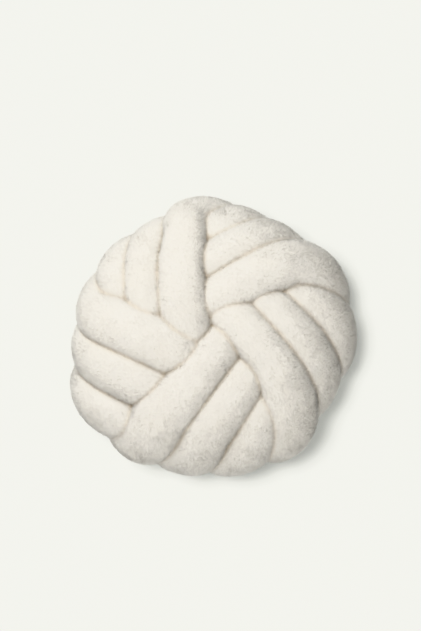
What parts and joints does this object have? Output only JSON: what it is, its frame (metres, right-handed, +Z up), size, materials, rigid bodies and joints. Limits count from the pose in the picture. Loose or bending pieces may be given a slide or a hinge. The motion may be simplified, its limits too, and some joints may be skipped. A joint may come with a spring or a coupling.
{
  "type": "knot cushion",
  "caption": "Round knot cushion of ivory plush: a stuffed tube wound over and under itself into a flat pinwheel knot.",
  "frame": {"origin": "on the floor, under the middle of the cushion's box", "axes": "+Z up out of the knot's face, +Y to the top of the picture, +X to its right"},
  "size_m": [0.363, 0.3532, 0.1474],
  "materials": {
    "ivory_plush": "short soft plush pile, warm ivory, dull"
  },
  "bodies": {
    "root": {"knot_cushion": "ivory_plush"}
  },
  "joints": []
}
